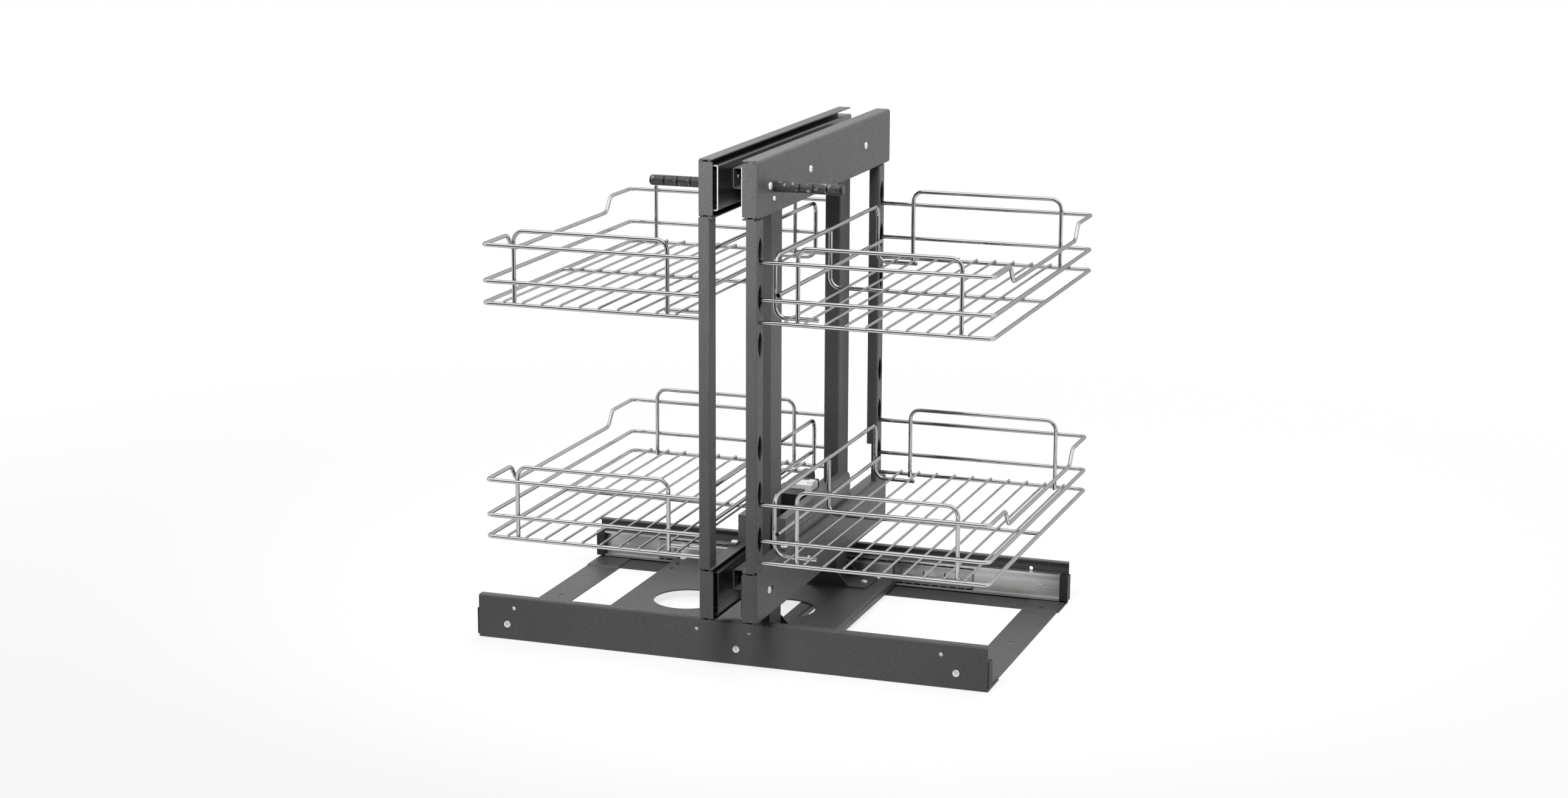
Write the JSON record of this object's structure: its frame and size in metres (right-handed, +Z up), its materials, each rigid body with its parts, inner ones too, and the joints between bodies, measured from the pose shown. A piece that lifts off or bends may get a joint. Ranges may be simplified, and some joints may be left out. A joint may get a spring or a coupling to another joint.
{
  "type": "blind corner pull out",
  "caption": "Floor frame with a sideways carriage and a column that carries two pull out frames with hook-in wire baskets, for a blind corner cabinet.",
  "frame": {"origin": "on the floor, at the centre of the floor frame and of its four corner screw holes", "axes": "+X to the right along the front rail, +Y into the cabinet, +Z up; the frames pull out along -Y"},
  "size_m": [0.6675, 0.507, 0.6205],
  "materials": {
    "graphite_powder_coat": "fine textured matt",
    "black_gloss_paint": "semi-gloss",
    "zinc_plate": "satin",
    "chromed_wire": "polished",
    "bright_screws": "bright",
    "bright_balls": "polished",
    "black_rubber": "matt",
    "black_plastic": "fine matt",
    "grey_plastic": "fine matt",
    "white_plastic": "translucent satin"
  },
  "bodies": {
    "floor_frame": {"front_rail": "graphite_powder_coat", "back_rail": "graphite_powder_coat", "left_side_bar": "graphite_powder_coat", "right_side_bar": "graphite_powder_coat", "front_slide_outer": "zinc_plate", "back_slide_outer": "zinc_plate", "slide_stops": "black_rubber", "floor_slide_screws": "bright_screws"},
    "front_middle": {"front_slide_middle": "zinc_plate", "front_ball_cages": "bright_balls"},
    "back_middle": {"back_slide_middle": "zinc_plate", "back_ball_cages": "bright_balls"},
    "carriage": {"front_slide_inner": "zinc_plate", "back_slide_inner": "zinc_plate", "front_slide_angle": "zinc_plate", "back_slide_angle": "zinc_plate", "carriage_plate": "graphite_powder_coat", "plate_stiffener": "graphite_powder_coat", "front_post_bracket": "graphite_powder_coat", "back_post_bracket": "graphite_powder_coat", "carriage_screws": "bright_screws", "front_column_post": "graphite_powder_coat", "back_column_post": "graphite_powder_coat", "column_top_rail": "graphite_powder_coat", "column_bottom_rail": "graphite_powder_coat", "left_top_slide_outer": "black_gloss_paint", "left_bottom_slide_outer": "black_gloss_paint", "right_top_slide_outer": "black_gloss_paint", "right_bottom_slide_outer": "black_gloss_paint", "column_slide_screws": "bright_screws", "interlock_block": "black_plastic"},
    "interlock": {"interlock_bar": "white_plastic"},
    "left_top_middle": {"left_top_slide_middle": "black_gloss_paint"},
    "left_bottom_middle": {"left_bottom_slide_middle": "black_gloss_paint"},
    "right_top_middle": {"right_top_slide_middle": "black_gloss_paint"},
    "right_bottom_middle": {"right_bottom_slide_middle": "black_gloss_paint"},
    "left_frame": {"left_top_slide_inner": "black_gloss_paint", "left_bottom_slide_inner": "black_gloss_paint", "left_top_rail": "graphite_powder_coat", "left_bottom_rail": "graphite_powder_coat", "left_front_post": "graphite_powder_coat", "left_back_post": "graphite_powder_coat", "left_handle": "black_plastic", "left_frame_screws": "bright_screws", "left_lock_housing": "grey_plastic", "left_upper_basket": "chromed_wire", "left_lower_basket": "chromed_wire"},
    "right_frame": {"right_top_slide_inner": "black_gloss_paint", "right_bottom_slide_inner": "black_gloss_paint", "right_top_rail": "graphite_powder_coat", "right_bottom_rail": "graphite_powder_coat", "right_front_post": "graphite_powder_coat", "right_back_post": "graphite_powder_coat", "right_handle": "black_plastic", "right_frame_screws": "bright_screws", "right_lock_housing": "grey_plastic", "right_upper_basket": "chromed_wire", "right_lower_basket": "chromed_wire"}
  },
  "joints": [
    {"name": "carriage_slide", "type": "slide", "parent": "floor_frame", "child": "carriage", "axis": [1, 0, 0], "range_m": [-0.104, 0.214]},
    {"name": "front_middle_slide", "type": "slide", "parent": "floor_frame", "child": "front_middle", "axis": [1, 0, 0], "range_m": [-0.052, 0.107]},
    {"name": "back_middle_slide", "type": "slide", "parent": "floor_frame", "child": "back_middle", "axis": [1, 0, 0], "range_m": [-0.052, 0.107]},
    {"name": "interlock_slide", "type": "slide", "parent": "carriage", "child": "interlock", "axis": [1, 0, 0], "range_m": [-0.004, 0.004]},
    {"name": "left_frame_pull", "type": "slide", "parent": "carriage", "child": "left_frame", "axis": [0, -1, 0], "range_m": [0, 0.45]},
    {"name": "left_top_middle_slide", "type": "slide", "parent": "carriage", "child": "left_top_middle", "axis": [0, -1, 0], "range_m": [0, 0.225]},
    {"name": "left_bottom_middle_slide", "type": "slide", "parent": "carriage", "child": "left_bottom_middle", "axis": [0, -1, 0], "range_m": [0, 0.225]},
    {"name": "right_frame_pull", "type": "slide", "parent": "carriage", "child": "right_frame", "axis": [0, -1, 0], "range_m": [0, 0.45]},
    {"name": "right_top_middle_slide", "type": "slide", "parent": "carriage", "child": "right_top_middle", "axis": [0, -1, 0], "range_m": [0, 0.225]},
    {"name": "right_bottom_middle_slide", "type": "slide", "parent": "carriage", "child": "right_bottom_middle", "axis": [0, -1, 0], "range_m": [0, 0.225]}
  ],
  "couplings": [
    {"joint": "front_middle_slide", "follows": "carriage_slide", "ratio": 0.5},
    {"joint": "back_middle_slide", "follows": "carriage_slide", "ratio": 0.5},
    {"joint": "left_top_middle_slide", "follows": "left_frame_pull", "ratio": 0.5},
    {"joint": "left_bottom_middle_slide", "follows": "left_frame_pull", "ratio": 0.5},
    {"joint": "right_top_middle_slide", "follows": "right_frame_pull", "ratio": 0.5},
    {"joint": "right_bottom_middle_slide", "follows": "right_frame_pull", "ratio": 0.5}
  ]
}
